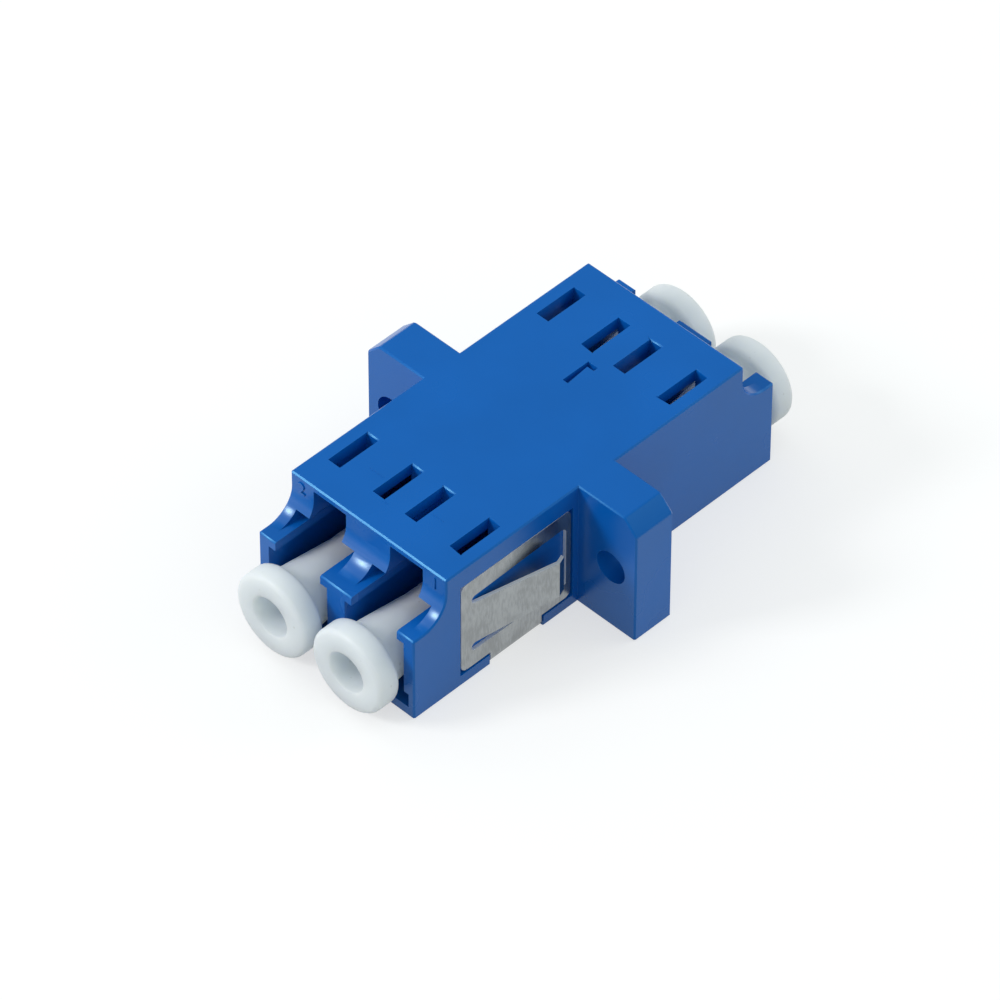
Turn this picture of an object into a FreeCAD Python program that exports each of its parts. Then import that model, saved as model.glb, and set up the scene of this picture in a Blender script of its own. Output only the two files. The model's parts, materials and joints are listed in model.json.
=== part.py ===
import FreeCAD, Part
import math
import os

import Sketcher

# Duplex fibre adapter for LC plugs: a flanged moulded housing, a spring clip that holds it in a
# panel, an alignment sleeve in each port, and a dust cap in each of the four mouths.
# Millimetres. X runs across the two ports, Y along the fibre from front to rear, Z up.
# The origin is the middle of the underside. The front and rear halves are alike.

# Every driving size: its name in the sheet, its value and what it measures.
DRIVING_SIZES = [
    ("body_width", 12.7, "width across both ports"),
    ("body_height", 9.5, "underside to top face"),
    ("top_length", 24.6, "length of the top face"),
    ("lip_reach", 2.65, "how far the lower walls pass the top face at each end"),
    ("lip_height", 6.4, "underside to the top of those walls"),
    ("scoop_radius", 1.9, "hollow round between those walls and the end face"),
    ("edge_break", 0.1, "small chamfer on the outer edges"),
    ("flange_width", 22.0, "width across the mounting ears"),
    ("flange_thickness", 3.05, "thickness of the ears along the fibre"),
    ("ear_chamfer", 1.0, "chamfer on the ears' top corners"),
    ("screw_inset", 2.0, "end of an ear to its screw hole's axis"),
    ("screw_hole", 2.25, "diameter of a screw hole"),
    ("screw_height", 4.75, "underside to the screw holes' axis"),
    ("port_pitch", 6.25, "distance between the two ports' axes"),
    ("axis_height", 3.25, "underside to the fibre axis"),
    ("web_thickness", 1.6, "wall between the front and rear cavities"),
    ("bore_width", 4.8, "width of a port"),
    ("bore_floor", 0.75, "thickness of the floor under a port"),
    ("foot_width", 5.55, "width of the wider channel along a port's floor"),
    ("foot_top", 1.8, "underside to the top of that channel"),
    ("rail_bottom", 5.75, "underside to the rails that guide a plug's body"),
    ("rail_gap", 3.7, "gap between the two rails of a port"),
    ("tooth_bottom", 7.15, "underside to the latch teeth"),
    ("tooth_depth", 2.15, "depth of the latch teeth along the fibre"),
    ("latch_gap", 2.66, "gap between a port's two latch teeth"),
    ("roof_thickness", 0.4, "wall over the latch in the mouth of a port"),
    ("inner_roof", 0.85, "wall over the latch further in"),
    ("window_width", 0.97, "width of a latch window"),
    ("window_length", 3.15, "length of a latch window"),
    ("window_offset", 1.83, "a port's axis to the middle of its latch window"),
    ("clip_thickness", 0.25, "sheet thickness of the spring clip"),
    ("recess_depth", 0.3, "depth of the seat for the clip"),
    ("recess_play", 0.12, "gap round the clip's edges in its seat"),
    ("plate_near", 11.05, "mid length to the clip's front edge"),
    ("plate_rim", 0.4, "sheet left behind the tongue's opening"),
    ("plate_bottom", 0.95, "underside to the clip's side plates"),
    ("plate_top", 7.95, "underside to the top of the side plates"),
    ("plate_corner", 0.5, "round on the side plates' corners"),
    ("strap_inset", 2.4, "front edge of the plates to the strap's front edge"),
    ("strap_width", 4.2, "width of the strap under the housing"),
    ("strap_bend", 0.4, "outside bend radius of the strap"),
    ("panel_gap", 2.175, "gap for the panel between the ears and the tongues' tips"),
    ("tongue_turn", 0.55, "length of the turned tip of a tongue"),
    ("root_inset", 1.15, "front edge of the plates to the spring tongue's root"),
    ("tongue_bottom", 2.72, "underside to the tongue's lower edge at its root"),
    ("tongue_rise", 0.6, "how far that edge rises towards the tip"),
    ("tongue_top", 6.0, "underside to the tongue's upper edge"),
    ("tongue_spread", 1.25, "how far the tongue stands out at its bend"),
    ("tongue_return", 0.2, "how far the tip turns back in from there"),
    ("slit_width", 0.6, "width of the slits beside the tongue at its root"),
    ("opening_top", 6.78, "underside to the top of the opening beside the tip"),
    ("opening_corner", 0.4, "round on the opening's upper corner there"),
    ("tip_clearance", 1.23, "gap between the tongue's tip and the opening's far edge"),
    ("sleeve_bore", 1.25, "inside diameter of an alignment sleeve"),
    ("sleeve_wall", 0.18, "wall of an alignment sleeve"),
    ("sleeve_length", 6.8, "length of an alignment sleeve"),
    ("sleeve_slit", 0.2, "width of the slit along a sleeve"),
    ("sleeve_play", 0.06, "gap between a sleeve and its holder"),
    ("tube_wall", 0.45, "wall of a holder's tube"),
    ("spigot_diameter", 3.3, "diameter of a holder where it passes the web"),
    ("spigot_play", 0.02, "gap between that diameter and the web"),
    ("collar_play", 0.15, "gap between a holder's square collar and the port's sides"),
    ("collar_thickness", 0.5, "thickness of that collar"),
    ("collar_round", 0.6, "round on the collar's corners"),
    ("mouth_diameter", 1.42, "diameter of a holder's mouth"),
    ("mouth_lip", 0.4, "thickness of the lip that keeps a sleeve in"),
    ("stem_play", 0.3, "gap between a cap's stem and the port's sides"),
    ("stem_taper", 0.3, "how much less the stem's radius is at its inner end"),
    ("stem_length", 7.4, "length of a cap's stem behind its head"),
    ("stem_wall", 0.6, "wall of the stem round its hollow end"),
    ("hollow_depth", 4.4, "depth of the hollow in the stem's inner end"),
    ("cap_diameter", 6.05, "diameter of a cap's head"),
    ("cap_thickness", 1.65, "thickness of a cap's head"),
    ("cap_standoff", 0.65, "gap between a cap's head and the lower walls"),
    ("cap_rim", 0.5, "size of the softened outer rim of the head"),
    ("back_rim", 0.35, "size of the softened rim at the back of the head"),
    ("flare_reach", 0.6, "how far the flare behind the head runs along the stem"),
    ("flare_width", 0.6, "how far that flare spreads from the stem"),
    ("grip_diameter", 2.75, "diameter of the blind hole in a cap's head"),
    ("grip_depth", 3.9, "depth of that blind hole"),
    ("grip_bevel", 0.2, "bevel on that hole's mouth"),
    ("mark_depth", 0.5, "depth of the mark on the top face"),
    ("mark_start", 4.1, "mid length to the foot of the mark"),
    ("mark_length", 2.15, "length of the mark"),
    ("mark_side", 0.45, "middle of the top face to the mark's straight side"),
    ("mark_foot", 0.42, "width of the mark's stem at its foot"),
    ("mark_waist", 0.26, "width of the stem below the side stroke"),
    ("mark_stroke", 0.36, "width of the side stroke"),
    ("mark_hook", 0.78, "reach of the side stroke"),
]

doc = FreeCAD.newDocument("fibre_adapter")
sheet = doc.addObject("Spreadsheet::Sheet", "Sizes")


class Size:
    """A length that knows its value and the sheet expression that gives it."""

    def __init__(self, value, text):
        self.value = value
        self.text = text

    def join(self, other, sign, result):
        text = other.text if isinstance(other, Size) else str(other)
        return Size(result, f"({self.text} {sign} {text})")

    def __add__(self, other):
        return self.join(other, "+", self.value + plain(other))

    def __sub__(self, other):
        return self.join(other, "-", self.value - plain(other))

    def __mul__(self, other):
        return self.join(other, "*", self.value * plain(other))

    def __truediv__(self, other):
        return self.join(other, "/", self.value / plain(other))

    def __neg__(self):
        return Size(-self.value, f"(-{self.text})")


def plain(length):
    """The number in a Size, or the number itself."""
    return length.value if isinstance(length, Size) else length


def fill_sheet():
    """Writes the driving sizes into the sheet and returns them by name."""
    sizes = {}
    for row, (name, value, meaning) in enumerate(DRIVING_SIZES, start=1):
        sheet.set(f"A{row}", meaning)
        sheet.set(f"B{row}", str(value))
        sheet.setAlias(f"B{row}", name)
        sizes[name] = Size(value, f"Sizes.{name}")
    doc.recompute()
    return sizes


S = fill_sheet()

# Places that several pieces share, worked out from the driving sizes.
side_face = S["body_width"] / 2
end_face = S["top_length"] / 2
lip_face = end_face + S["lip_reach"]
port_axis = S["port_pitch"] / 2
web_face = S["web_thickness"] / 2
mouth_roof = S["body_height"] - S["roof_thickness"]
roof_inside = S["body_height"] - S["inner_roof"]
latch_face = end_face - S["tooth_depth"]
recess_floor = side_face - S["recess_depth"]
collar_face = web_face + S["collar_thickness"]
sleeve_end = S["sleeve_length"] / 2
tube_bore = S["sleeve_bore"] + (S["sleeve_wall"] + S["sleeve_play"]) * 2
tube_diameter = tube_bore + S["tube_wall"] * 2
tube_end = sleeve_end + S["sleeve_play"] + S["mouth_lip"]
screw_axis = S["flange_width"] / 2 - S["screw_inset"]
tongue_tip = S["flange_thickness"] / 2 + S["panel_gap"]
tongue_knee = tongue_tip + S["tongue_turn"]
tongue_root = S["plate_near"] - S["root_inset"]
opening_far = tongue_tip - S["tip_clearance"]
plate_far = opening_far - S["plate_rim"]
strap_near = S["plate_near"] - S["strap_inset"]
strap_far = strap_near - S["strap_width"]
head_back = lip_face + S["cap_standoff"]
head_front = head_back + S["cap_thickness"]
stem_end = head_back - S["stem_length"]


def new_body(label):
    """A body whose label is the name of the piece."""
    body = doc.addObject("PartDesign::Body", label)
    body.Label = label
    return body


def origin_item(body, role):
    """One of the body's own origin planes or axes."""
    return next(item for item in body.Origin.OriginFeatures if item.Role == role)


def new_sketch(body, name, role, offset=None):
    """A sketch on an origin plane of the body, moved along the plane's normal."""
    sketch = body.newObject("Sketcher::SketchObject", name)
    sketch.AttachmentSupport = [(origin_item(body, role), "")]
    sketch.MapMode = "FlatFace"
    if offset is not None:
        sketch.setExpression("AttachmentOffset.Base.z", offset.text)
    return sketch


def bind(sketch, constraint, length):
    """Adds a dimension to a sketch and ties it to the sheet."""
    index = sketch.addConstraint(constraint)
    name = f"size{index}"
    sketch.renameConstraint(index, name)
    sketch.setExpression(f"Constraints.{name}", length.text)


def hold_along(sketch, kind, axis, geometry, point, length):
    """Holds a sketch point at a signed distance from the sketch's origin along one axis."""
    value = plain(length)
    if not isinstance(length, Size):
        sketch.addConstraint(Sketcher.Constraint("PointOnObject", geometry, point, axis))
    elif value < 0:
        bind(sketch, Sketcher.Constraint(kind, geometry, point, -1, 1, -value), -length)
    else:
        bind(sketch, Sketcher.Constraint(kind, -1, 1, geometry, point, value), length)


def hold_point(sketch, geometry, point, place):
    """Holds a sketch point at a place. A plain 0 puts it on the axis."""
    hold_along(sketch, "DistanceX", -2, geometry, point, place[0])
    hold_along(sketch, "DistanceY", -1, geometry, point, place[1])


def add_side(sketch, start, end, centre):
    """Adds one side of an outline, straight or round, and says which of its points comes first."""
    first = FreeCAD.Vector(plain(start[0]), plain(start[1]), 0)
    last = FreeCAD.Vector(plain(end[0]), plain(end[1]), 0)
    if centre is None:
        return sketch.addGeometry(Part.LineSegment(first, last), False), 1, 2
    middle = FreeCAD.Vector(plain(centre[0]), plain(centre[1]), 0)
    from_angle = math.atan2(first.y - middle.y, first.x - middle.x)
    to_angle = math.atan2(last.y - middle.y, last.x - middle.x)
    circle = Part.Circle(middle, FreeCAD.Vector(0, 0, 1), (first - middle).Length)
    if (to_angle - from_angle) % (2 * math.pi) < math.pi:
        return sketch.addGeometry(Part.ArcOfCircle(circle, from_angle, to_angle), False), 1, 2
    return sketch.addGeometry(Part.ArcOfCircle(circle, to_angle, from_angle), False), 2, 1


def outline(sketch, places, rounds=None):
    """A closed outline through the places. rounds maps a side's number to its centre and radius."""
    rounds = rounds or {}
    sides = []
    for number, start in enumerate(places):
        end = places[(number + 1) % len(places)]
        centre = rounds[number][0] if number in rounds else None
        sides.append(add_side(sketch, start, end, centre))
    for number, (geometry, first, last) in enumerate(sides):
        following, following_first, _ = sides[(number + 1) % len(sides)]
        sketch.addConstraint(Sketcher.Constraint("Coincident", geometry, last, following, following_first))
        hold_point(sketch, geometry, first, places[number])
        if number in rounds:
            radius = rounds[number][1]
            bind(sketch, Sketcher.Constraint("Radius", geometry, radius.value), radius)


def rectangle(sketch, left, bottom, right, top):
    """A closed rectangle between two corners."""
    outline(sketch, [(left, bottom), (right, bottom), (right, top), (left, top)])


def circle(sketch, place, diameter):
    """A circle with its centre at a place."""
    middle = FreeCAD.Vector(plain(place[0]), plain(place[1]), 0)
    round_edge = Part.Circle(middle, FreeCAD.Vector(0, 0, 1), diameter.value / 2)
    geometry = sketch.addGeometry(round_edge, False)
    hold_point(sketch, geometry, 3, place)
    bind(sketch, Sketcher.Constraint("Diameter", geometry, diameter.value), diameter)


def pad(body, sketch, name, length, symmetric=False, reverse=False):
    """Adds material over a length along the sketch's normal."""
    feature = body.newObject("PartDesign::Pad", name)
    feature.Profile = sketch
    feature.SideType = "Symmetric" if symmetric else "One side"
    feature.Reversed = reverse
    feature.setExpression("Length", length.text)
    doc.recompute()
    return feature


def pocket(body, sketch, name, length, symmetric=False, reverse=False):
    """Takes material away and makes sure that some of it went."""
    before = body.Shape.Volume
    feature = body.newObject("PartDesign::Pocket", name)
    feature.Profile = sketch
    feature.SideType = "Symmetric" if symmetric else "One side"
    feature.Reversed = reverse
    feature.setExpression("Length", length.text)
    doc.recompute()
    if not body.Shape.Volume < before:
        raise RuntimeError(f"{body.Label}: {name} cuts nothing")
    return feature


def mirrored(body, originals, name, role):
    """Repeats features on the other side of an origin plane."""
    feature = body.newObject("PartDesign::Mirrored", name)
    feature.Originals = originals
    feature.MirrorPlane = (origin_item(body, role), [""])
    body.Tip = feature
    doc.recompute()
    return feature


def dress(body, kind, name, size_property, size, wanted):
    """Dresses the edges of the body that the test picks."""
    base = body.Tip
    chosen = [f"Edge{number}" for number, edge in enumerate(base.Shape.Edges, start=1) if wanted(edge)]
    if not chosen:
        raise RuntimeError(f"{body.Label}: {name} finds no edge")
    feature = body.newObject(kind, name)
    feature.Base = (base, chosen)
    feature.setExpression(size_property, size.text)
    doc.recompute()
    return feature


def near(value, length):
    """True where a coordinate lies at a named place."""
    return abs(value - plain(length)) < 1e-4


def base_form(body):
    """The housing's solid form: the stepped side profile and the mounting ears."""
    step, scoop, height = S["lip_height"], S["scoop_radius"], S["body_height"]
    profile = new_sketch(body, "side_profile", "YZ_Plane")
    places = [
        (-lip_face, 0),
        (lip_face, 0),
        (lip_face, step),
        (end_face + scoop, step),
        (end_face, step + scoop),
        (end_face, height),
        (-end_face, height),
        (-end_face, step + scoop),
        (-end_face - scoop, step),
        (-lip_face, step),
    ]
    rounds = {
        3: ((end_face + scoop, step + scoop), scoop),
        7: ((-end_face - scoop, step + scoop), scoop),
    }
    outline(profile, places, rounds)
    pad(body, profile, "main_form", S["body_width"], symmetric=True)
    ears = new_sketch(body, "ears_outline", "XZ_Plane")
    tip, chamfer = S["flange_width"] / 2, S["ear_chamfer"]
    places = [
        (-tip, 0),
        (tip, 0),
        (tip, height - chamfer),
        (tip - chamfer, height),
        (-tip + chamfer, height),
        (-tip, height - chamfer),
    ]
    outline(ears, places)
    pad(body, ears, "ears", S["flange_thickness"], symmetric=True)


def outer_edge(edge):
    """True for the housing's outer edges: not the inner corners by the ears, nor the scoops' ends."""
    middle = edge.CenterOfMass
    if near(abs(middle.x), side_face) and near(abs(middle.y), S["flange_thickness"] / 2):
        return False
    scoop_foot = near(abs(middle.y), end_face + S["scoop_radius"]) and near(middle.z, S["lip_height"])
    scoop_head = near(abs(middle.y), end_face) and near(middle.z, S["lip_height"] + S["scoop_radius"])
    return not ((scoop_foot or scoop_head) and near(middle.x, 0))


def port_places(middle):
    """A port's section: floor channel, square bore, rails, latch room and the slot for the latch."""
    foot, bore = S["foot_width"] / 2, S["bore_width"] / 2
    rail, latch = S["rail_gap"] / 2, S["latch_gap"] / 2
    half = [
        (foot, S["bore_floor"]),
        (foot, S["foot_top"]),
        (bore, S["foot_top"]),
        (bore, S["rail_bottom"]),
        (rail, S["rail_bottom"]),
        (rail, S["lip_height"]),
        (bore, S["lip_height"]),
        (bore, S["tooth_bottom"]),
        (latch, S["tooth_bottom"]),
        (latch, roof_inside),
    ]
    right = [(middle + across, up) for across, up in half]
    left = [(middle - across, up) for across, up in half]
    return right + left[::-1]


def cut_front_ports(body):
    """The two front cavities, the rooms behind their latch teeth and the windows over those."""
    bore, latch = S["bore_width"] / 2, S["latch_gap"] / 2
    window_back = latch_face - S["window_length"]
    ports = new_sketch(body, "port_sections", "XZ_Plane", web_face)
    rooms = new_sketch(body, "latch_rooms_section", "XZ_Plane", window_back)
    mouths = new_sketch(body, "latch_mouths_section", "XZ_Plane", latch_face)
    windows = new_sketch(body, "windows_outline", "XY_Plane", S["body_height"])
    for middle in (-port_axis, port_axis):
        outline(ports, port_places(middle))
        rectangle(rooms, middle - bore, S["tooth_bottom"], middle + bore, roof_inside)
        rectangle(mouths, middle - latch, S["tooth_bottom"], middle + latch, mouth_roof)
        for offset in (-S["window_offset"], S["window_offset"]):
            left = middle + offset - S["window_width"] / 2
            right = middle + offset + S["window_width"] / 2
            rectangle(windows, left, -latch_face, right, -window_back)
    return [
        pocket(body, ports, "front_ports", lip_face - web_face, reverse=True),
        pocket(body, rooms, "latch_rooms", S["window_length"], reverse=True),
        pocket(body, mouths, "latch_mouths", S["tooth_depth"], reverse=True),
        pocket(body, windows, "latch_windows", S["inner_roof"] * 2),
    ]


def cut_clip_seat(body):
    """The shallow seat for the clip on both sides and under the housing."""
    near_end, far_end = -S["plate_near"] - S["recess_play"], -plate_far + S["recess_play"]
    low, high = S["plate_bottom"] - S["recess_play"], S["plate_top"] + S["recess_play"]
    strap_near_end = -strap_near - S["recess_play"]
    strap_far_end = -strap_far + S["recess_play"]
    side = new_sketch(body, "clip_seat_outline", "YZ_Plane", side_face)
    places = [
        (near_end, low),
        (strap_near_end, low),
        (strap_near_end, 0),
        (strap_far_end, 0),
        (strap_far_end, low),
        (far_end, low),
        (far_end, high),
        (near_end, high),
    ]
    outline(side, places)
    seat = pocket(body, side, "clip_seat", S["recess_depth"])
    mirrored(body, [seat], "clip_seat_left", "YZ_Plane")
    under = new_sketch(body, "strap_seat_outline", "XY_Plane")
    rectangle(under, -side_face, strap_near_end, side_face, strap_far_end)
    pocket(body, under, "strap_seat", S["recess_depth"], reverse=True)


def cut_mark(body):
    """A shallow hooked stroke on the top face that shows which end is which."""
    left, foot = -S["mark_side"], S["mark_start"]
    head = foot + S["mark_length"]
    sketch = new_sketch(body, "mark_outline", "XY_Plane", S["body_height"])
    places = [
        (left, foot),
        (left + S["mark_foot"], foot),
        (left + S["mark_waist"], head - S["mark_stroke"]),
        (left + S["mark_hook"], head - S["mark_stroke"]),
        (left + S["mark_hook"], head),
        (left, head),
    ]
    outline(sketch, places)
    pocket(body, sketch, "top_mark", S["mark_depth"])


def make_housing():
    """The one-piece moulded housing with its ears, ports, latch teeth and clip seat."""
    body = new_body("housing")
    base_form(body)
    dress(body, "PartDesign::Chamfer", "outer_edges", "Size", S["edge_break"], outer_edge)
    front = cut_front_ports(body)
    mirrored(body, front, "rear_ports", "XZ_Plane")
    holes = new_sketch(body, "screw_holes_outline", "XZ_Plane")
    for middle in (-screw_axis, screw_axis):
        circle(holes, (middle, S["screw_height"]), S["screw_hole"])
    pocket(body, holes, "screw_holes", S["flange_thickness"] * 2, symmetric=True)
    web = new_sketch(body, "web_holes_outline", "XZ_Plane")
    for middle in (-port_axis, port_axis):
        circle(web, (middle, S["axis_height"]), S["spigot_diameter"] + S["spigot_play"] * 2)
    pocket(body, web, "web_holes", S["web_thickness"], symmetric=True)
    cut_clip_seat(body)
    cut_mark(body)
    return body


def clip_strap(body):
    """The U of sheet that passes under the housing and up both its sides."""
    inner, outer = recess_floor, recess_floor + S["clip_thickness"]
    top, bend = S["plate_top"], S["strap_bend"]
    upper = S["recess_depth"]
    lower = upper - S["clip_thickness"]
    profile = new_sketch(body, "strap_section", "XZ_Plane", strap_far)
    places = [
        (-outer, lower + bend),
        (-outer + bend, lower),
        (outer - bend, lower),
        (outer, lower + bend),
        (outer, top),
        (inner, top),
        (inner, upper),
        (-inner, upper),
        (-inner, top),
        (-outer, top),
    ]
    rounds = {0: ((-outer + bend, lower + bend), bend), 2: ((outer - bend, lower + bend), bend)}
    outline(profile, places, rounds)
    pad(body, profile, "strap", S["strap_width"])


def clip_plate(body):
    """The right side plate with its rounded corners."""
    near_end, far_end = -S["plate_near"], -plate_far
    low, high, corner = S["plate_bottom"], S["plate_top"], S["plate_corner"]
    sketch = new_sketch(body, "plate_outline", "YZ_Plane", recess_floor)
    places = [
        (near_end + corner, low),
        (far_end - corner, low),
        (far_end, low + corner),
        (far_end, high - corner),
        (far_end - corner, high),
        (near_end + corner, high),
        (near_end, high - corner),
        (near_end, low + corner),
    ]
    rounds = {
        1: ((far_end - corner, low + corner), corner),
        3: ((far_end - corner, high - corner), corner),
        5: ((near_end + corner, high - corner), corner),
        7: ((near_end + corner, low + corner), corner),
    }
    outline(sketch, places, rounds)
    return pad(body, sketch, "side_plate", S["clip_thickness"])


def clip_opening(body):
    """The opening that frees the spring tongue: a slit on each side, and a clear space at its tip."""
    root, far_end, slit = -tongue_root, -opening_far, S["slit_width"]
    low, high = S["tongue_bottom"] - slit, S["tongue_top"] + slit
    top, corner = S["opening_top"], S["opening_corner"]
    outer = recess_floor + S["clip_thickness"]
    sketch = new_sketch(body, "opening_outline", "YZ_Plane", outer)
    places = [
        (root, low),
        (far_end, low),
        (far_end, top - corner),
        (far_end - corner, top),
        (root, high),
    ]
    outline(sketch, places, {2: ((far_end - corner, top - corner), corner)})
    opening = pocket(body, sketch, "tongue_opening", S["clip_thickness"])
    ends = new_sketch(body, "slit_ends_outline", "YZ_Plane", outer)
    circle(ends, (root, low + slit / 2), slit)
    circle(ends, (root, high - slit / 2), slit)
    return [opening, pocket(body, ends, "slit_ends", S["clip_thickness"])]


def clip_tongue(body):
    """The spring tongue: it slopes out from its root, and its tip turns back in."""
    inner, outer, spread = recess_floor, recess_floor + S["clip_thickness"], S["tongue_spread"]
    root, knee, tip = -tongue_root, -tongue_knee, -tongue_tip
    turned = spread - S["tongue_return"]
    sketch = new_sketch(body, "tongue_section", "XY_Plane", S["tongue_bottom"])
    places = [
        (inner, root),
        (outer, root),
        (outer + spread, knee),
        (outer + turned, tip),
        (inner + turned, tip),
        (inner + spread, knee),
    ]
    outline(sketch, places)
    tongue = pad(body, sketch, "tongue", S["tongue_top"] - S["tongue_bottom"])
    wedge = new_sketch(body, "tongue_edge_outline", "YZ_Plane", inner)
    places = [(root, S["tongue_bottom"]), (tip, S["tongue_bottom"]), (tip, S["tongue_bottom"] + S["tongue_rise"])]
    outline(wedge, places)
    length = spread + S["clip_thickness"] * 2
    return [tongue, pocket(body, wedge, "tongue_edge", length, reverse=True)]


def make_clip():
    """The stainless spring clip, one folded sheet that goes round three sides of the housing."""
    body = new_body("panel_clip")
    clip_strap(body)
    plate = clip_plate(body)
    right_side = [plate] + clip_opening(body) + clip_tongue(body)
    mirrored(body, right_side, "left_side", "YZ_Plane")
    return body


def seat_in_port(body, side, rear):
    """Places a piece that was drawn round its own axis into one of the ports."""
    turn = 180 if rear else 0
    body.Placement = FreeCAD.Placement(FreeCAD.Vector(0, 0, 0), FreeCAD.Rotation(FreeCAD.Vector(0, 0, 1), turn))
    body.setExpression("Placement.Base.x", (port_axis * side).text)
    body.setExpression("Placement.Base.z", S["axis_height"].text)


def revolve(body, name, places):
    """A solid turned round the fibre axis from distances along it and radii."""
    sketch = new_sketch(body, f"{name}_section", "YZ_Plane")
    outline(sketch, places)
    feature = body.newObject("PartDesign::Revolution", name)
    feature.Profile = sketch
    feature.ReferenceAxis = (sketch, ["H_Axis"])
    feature.Angle = 360
    doc.recompute()


def make_holder(label, side, rear):
    """Half of a port's sleeve holder: a tube with an inner lip, a square collar and a spigot."""
    body = new_body(label)
    collar = new_sketch(body, "collar_outline", "XZ_Plane", web_face)
    edge, corner = S["bore_width"] / 2 - S["collar_play"], S["collar_round"]
    places = [
        (-edge + corner, -edge),
        (edge - corner, -edge),
        (edge, -edge + corner),
        (edge, edge - corner),
        (edge - corner, edge),
        (-edge + corner, edge),
        (-edge, edge - corner),
        (-edge, -edge + corner),
    ]
    rounds = {
        1: ((edge - corner, -edge + corner), corner),
        3: ((edge - corner, edge - corner), corner),
        5: ((-edge + corner, edge - corner), corner),
        7: ((-edge + corner, -edge + corner), corner),
    }
    outline(collar, places, rounds)
    circle(collar, (0, 0), tube_bore)
    pad(body, collar, "collar", S["collar_thickness"])
    seat, lead = -(sleeve_end + S["sleeve_play"]), S["tube_wall"] / 2
    places = [
        (0, tube_bore / 2),
        (0, S["spigot_diameter"] / 2),
        (-collar_face, S["spigot_diameter"] / 2),
        (-collar_face, tube_diameter / 2),
        (-tube_end + lead, tube_diameter / 2),
        (-tube_end, tube_diameter / 2 - lead),
        (-tube_end, S["mouth_diameter"] / 2),
        (seat, S["mouth_diameter"] / 2),
        (seat, tube_bore / 2),
    ]
    revolve(body, "tube", places)
    seat_in_port(body, side, rear)
    return body


def make_sleeve(label, side):
    """A port's split alignment sleeve."""
    body = new_body(label)
    outer = S["sleeve_bore"] + S["sleeve_wall"] * 2
    ring = new_sketch(body, "ring_section", "XZ_Plane")
    circle(ring, (0, 0), outer)
    circle(ring, (0, 0), S["sleeve_bore"])
    pad(body, ring, "ring", S["sleeve_length"], symmetric=True)
    slit = new_sketch(body, "slit_section", "XZ_Plane")
    rectangle(slit, -S["sleeve_slit"] / 2, 0, S["sleeve_slit"] / 2, outer)
    pocket(body, slit, "slit", S["sleeve_length"] * 2, symmetric=True)
    seat_in_port(body, side, False)
    return body


def make_cap(label, side, rear):
    """A soft dust cap: a stem that is hollow at its inner end, and a round head to pull it by."""
    body = new_body(label)
    stem, head = S["bore_width"] / 2 - S["stem_play"], S["cap_diameter"] / 2
    inner_stem = stem - S["stem_taper"]
    hollow, grip = inner_stem - S["stem_wall"], S["grip_diameter"] / 2
    rim, back_rim, mouth = S["cap_rim"], S["back_rim"], S["grip_bevel"]
    reach, spread = S["flare_reach"], S["flare_width"]
    shoulder, turn = rim * (1 - math.sqrt(0.5)), 1 - math.sqrt(0.5)
    lead = S["stem_wall"] / 2
    hollow_floor = stem_end + S["hollow_depth"]
    places = [
        (-stem_end, hollow),
        (-stem_end, inner_stem - lead),
        (-stem_end - lead, inner_stem),
        (-head_back + reach, stem),
        (-head_back + reach * turn, stem + spread * turn),
        (-head_back, stem + spread),
        (-head_back - back_rim, head),
        (-head_front + rim, head),
        (-head_front + shoulder, head - shoulder),
        (-head_front, head - rim),
        (-head_front, grip + mouth),
        (-head_front + mouth, grip),
        (-head_front + S["grip_depth"], grip),
        (-head_front + S["grip_depth"], 0),
        (-hollow_floor, 0),
        (-hollow_floor, hollow),
    ]
    revolve(body, "cap_form", places)
    seat_in_port(body, side, rear)
    return body


def make_port_pieces():
    """The pieces that each port holds: sleeve, two holder halves and two caps."""
    pieces = []
    for side, side_name in ((-1, "left"), (1, "right")):
        pieces.append(make_sleeve(f"sleeve_{side_name}", side))
        for rear, end_name in ((False, "front"), (True, "rear")):
            pieces.append(make_holder(f"sleeve_holder_{end_name}_{side_name}", side, rear))
            pieces.append(make_cap(f"dust_cap_{end_name}_{side_name}", side, rear))
    return pieces


def check_document(pieces):
    """Stops if any object failed or any piece has no sound solid."""
    for item in doc.Objects:
        if "Invalid" in item.State or "Error" in item.State:
            raise RuntimeError(f"{item.Label} failed: {item.State}")
    for piece in pieces:
        shape = piece.Shape
        if shape.isNull() or not shape.isValid() or len(shape.Solids) != 1:
            raise RuntimeError(f"{piece.Label} is not one sound solid")


def write_parts(pieces):
    """Writes each piece to a file of its own name."""
    os.makedirs("parts", exist_ok=True)
    for piece in pieces:
        piece.Shape.exportStep(f"parts/{piece.Label}.step")
        print(f"{piece.Label}: {piece.Shape.Volume:.2f} cubic mm")


all_pieces = [make_housing(), make_clip()] + make_port_pieces()
doc.recompute()
check_document(all_pieces)
write_parts(all_pieces)
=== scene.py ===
import json
import math

import bmesh
import bpy
from bpy.props import FloatProperty, FloatVectorProperty, IntProperty, PointerProperty
from bpy.types import Operator, Panel, PropertyGroup
from mathutils import Matrix, Vector

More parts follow.
